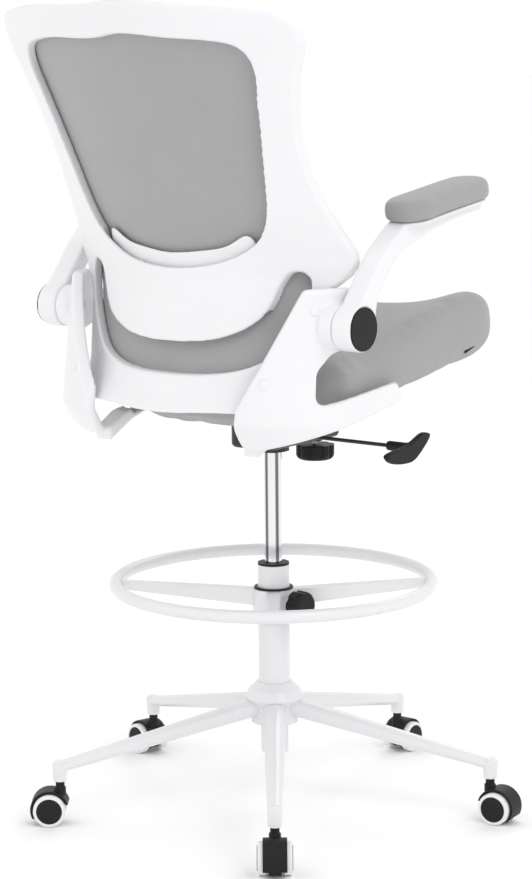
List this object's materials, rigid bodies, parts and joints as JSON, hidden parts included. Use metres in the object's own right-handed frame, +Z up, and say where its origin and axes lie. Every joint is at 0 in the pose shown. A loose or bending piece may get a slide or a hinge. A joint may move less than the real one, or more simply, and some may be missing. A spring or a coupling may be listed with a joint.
{
  "type": "drafting chair",
  "caption": "Tall swivel work chair with foot ring, flip-up arms, wrapped mesh back, padded seat, gas lift and five-leg base on casters.",
  "frame": {"origin": "on the floor under the axis of the gas column", "axes": "+Z up, the sitter faces -Y, the sitter's right arm is at -X"},
  "size_m": [0.7625, 0.8077, 1.2627],
  "materials": {
    "white_plastic": "satin white moulded nylon and polypropylene",
    "white_steel": "white powder coat",
    "black_plastic": "satin black plastic",
    "white_tread": "white polyurethane tread",
    "chrome": "hard chrome",
    "bright_steel": "bright zinc",
    "black_steel": "black stoved enamel",
    "grey_fabric": "plain woven polyester over foam",
    "grey_mesh": "woven elastic mesh",
    "plywood": "raw plywood"
  },
  "bodies": {
    "base": {"base_hub": "white_steel", "base_leg_1": "white_steel", "base_leg_2": "white_steel", "base_leg_3": "white_steel", "base_leg_4": "white_steel", "base_leg_5": "white_steel", "column_tube": "white_steel", "column_guide_bush": "black_plastic", "thrust_bearing": "bright_steel"},
    "spindle": {"piston_rod": "bright_steel", "piston_rod_clip": "bright_steel"},
    "lift": {"gas_cylinder": "chrome", "mechanism_housing": "black_steel", "tilt_pivot_pin": "bright_steel", "tension_spring": "bright_steel", "tension_bolt": "bright_steel"},
    "release_pin": {"gas_release_pin": "bright_steel"},
    "height_lever": {"height_lever_rod": "black_steel", "height_lever_handle": "black_plastic"},
    "tension_adjuster": {"tension_knob": "black_plastic"},
    "seat": {"seat_cushion": "grey_fabric", "seat_board": "plywood", "seat_tilt_plate": "black_steel", "seat_screws": "bright_steel", "back_frame": "white_plastic", "back_mesh": "grey_mesh", "bracket_left": "white_plastic", "bracket_right": "white_plastic", "armrest_pivot_pins": "bright_steel"},
    "lumbar": {"lumbar_plate": "white_plastic"},
    "armrest_right": {"armrest_arm_right": "white_plastic", "armrest_pad_right": "grey_fabric", "armrest_cap_right": "black_plastic"},
    "armrest_left": {"armrest_arm_left": "white_plastic", "armrest_pad_left": "grey_fabric", "armrest_cap_left": "black_plastic"},
    "ring_sleeve": {"foot_ring_sleeve": "black_plastic"},
    "foot_ring": {"foot_ring_collar": "white_steel", "foot_ring_hoop": "white_steel", "foot_ring_spoke_1": "white_steel", "foot_ring_spoke_2": "white_steel", "foot_ring_spoke_3": "white_steel", "foot_ring_spoke_4": "white_steel"},
    "clamp": {"clamp_knob": "black_plastic", "clamp_screw": "bright_steel"},
    "caster_1": {"caster_fork_1": "black_plastic"},
    "caster_wheels_1": {"caster_wheel_hubs_1": "black_plastic", "caster_wheel_treads_1": "white_tread"},
    "caster_2": {"caster_fork_2": "black_plastic"},
    "caster_wheels_2": {"caster_wheel_hubs_2": "black_plastic", "caster_wheel_treads_2": "white_tread"},
    "caster_3": {"caster_fork_3": "black_plastic"},
    "caster_wheels_3": {"caster_wheel_hubs_3": "black_plastic", "caster_wheel_treads_3": "white_tread"},
    "caster_4": {"caster_fork_4": "black_plastic"},
    "caster_wheels_4": {"caster_wheel_hubs_4": "black_plastic", "caster_wheel_treads_4": "white_tread"},
    "caster_5": {"caster_fork_5": "black_plastic"},
    "caster_wheels_5": {"caster_wheel_hubs_5": "black_plastic", "caster_wheel_treads_5": "white_tread"}
  },
  "joints": [
    {"name": "seat_swivel", "type": "hinge", "parent": "base", "child": "spindle", "pos_m": [0, 0, 0.1], "axis": [0, 0, 1], "continuous": true},
    {"name": "height_slide", "type": "slide", "parent": "spindle", "child": "lift", "axis": [0, 0, 1], "range_m": [-0.13, 0.07]},
    {"name": "release_lever", "type": "hinge", "parent": "lift", "child": "height_lever", "pos_m": [-0.055, -0.02, 0.59], "axis": [0, 1, 0], "range_deg": [0, 4], "stiffness_Nm_per_rad": 1, "springref_deg": -17.19},
    {"name": "release_pin_slide", "type": "slide", "parent": "lift", "child": "release_pin", "axis": [0, 0, 1], "range_m": [-0.004, 0], "stiffness_N_per_m": 500, "springref_m": 0.002},
    {"name": "tension_turn", "type": "hinge", "parent": "lift", "child": "tension_adjuster", "pos_m": [0, -0.112, 0.548], "axis": [0, 0, 1], "range_deg": [-720, 720]},
    {"name": "recline", "type": "hinge", "parent": "lift", "child": "seat", "pos_m": [0, -0.075, 0.618], "axis": [-1, 0, 0], "range_deg": [0, 14], "stiffness_Nm_per_rad": 100, "springref_deg": -22.92},
    {"name": "lumbar_height", "type": "slide", "parent": "seat", "child": "lumbar", "axis": [0, 0.1668, 0.986], "range_m": [-0.012, 0.012]},
    {"name": "armrest_flip_right", "type": "hinge", "parent": "seat", "child": "armrest_right", "pos_m": [-0.28, 0.1747, 0.794], "axis": [-1, 0, 0], "range_deg": [0, 90]},
    {"name": "armrest_flip_left", "type": "hinge", "parent": "seat", "child": "armrest_left", "pos_m": [0.28, 0.1747, 0.794], "axis": [-1, 0, 0], "range_deg": [0, 90]},
    {"name": "ring_height", "type": "slide", "parent": "base", "child": "ring_sleeve", "axis": [0, 0, 1], "range_m": [-0.095, 0.03]},
    {"name": "ring_turn", "type": "hinge", "parent": "ring_sleeve", "child": "foot_ring", "pos_m": [0, 0, 0.322], "axis": [0, 0, 1], "continuous": true},
    {"name": "clamp_turn", "type": "hinge", "parent": "foot_ring", "child": "clamp", "pos_m": [-0.04951, 0.00696, 0.327], "axis": [-0.9903, 0.1392, 0], "range_deg": [0, 360]},
    {"name": "caster_1_swivel", "type": "hinge", "parent": "base", "child": "caster_1", "pos_m": [-0.21063, 0.27952, 0.08], "axis": [0, 0, 1], "continuous": true},
    {"name": "caster_1_roll", "type": "hinge", "parent": "caster_1", "child": "caster_wheels_1", "pos_m": [-0.22026, 0.2923, 0.025], "axis": [-0.7986, -0.6018, 0], "continuous": true},
    {"name": "caster_2_swivel", "type": "hinge", "parent": "base", "child": "caster_2", "pos_m": [-0.33093, -0.11395, 0.08], "axis": [0, 0, 1], "continuous": true},
    {"name": "caster_2_roll", "type": "hinge", "parent": "caster_2", "child": "caster_wheels_2", "pos_m": [-0.34681, -0.1159, 0.025], "axis": [0.1219, -0.9925, 0], "continuous": true},
    {"name": "caster_3_swivel", "type": "hinge", "parent": "base", "child": "caster_3", "pos_m": [0.00611, -0.34995, 0.08], "axis": [0, 0, 1], "continuous": true},
    {"name": "caster_3_roll", "type": "hinge", "parent": "caster_3", "child": "caster_wheels_3", "pos_m": [0.00555, -0.36594, 0.025], "axis": [0.9994, -0.0349, 0], "continuous": true},
    {"name": "caster_4_swivel", "type": "hinge", "parent": "base", "child": "caster_4", "pos_m": [0.33471, -0.10233, 0.08], "axis": [0, 0, 1], "continuous": true},
    {"name": "caster_4_roll", "type": "hinge", "parent": "caster_4", "child": "caster_wheels_4", "pos_m": [0.35023, -0.1062, 0.025], "axis": [0.2419, 0.9703, 0], "continuous": true},
    {"name": "caster_5_swivel", "type": "hinge", "parent": "base", "child": "caster_5", "pos_m": [0.20075, 0.2867, 0.08], "axis": [0, 0, 1], "continuous": true},
    {"name": "caster_5_roll", "type": "hinge", "parent": "caster_5", "child": "caster_wheels_5", "pos_m": [0.21353, 0.29633, 0.025], "axis": [-0.6018, 0.7986, 0], "continuous": true}
  ],
  "couplings": [
    {"joint": "release_pin_slide", "follows": "release_lever", "m_per_rad": -0.055}
  ]
}
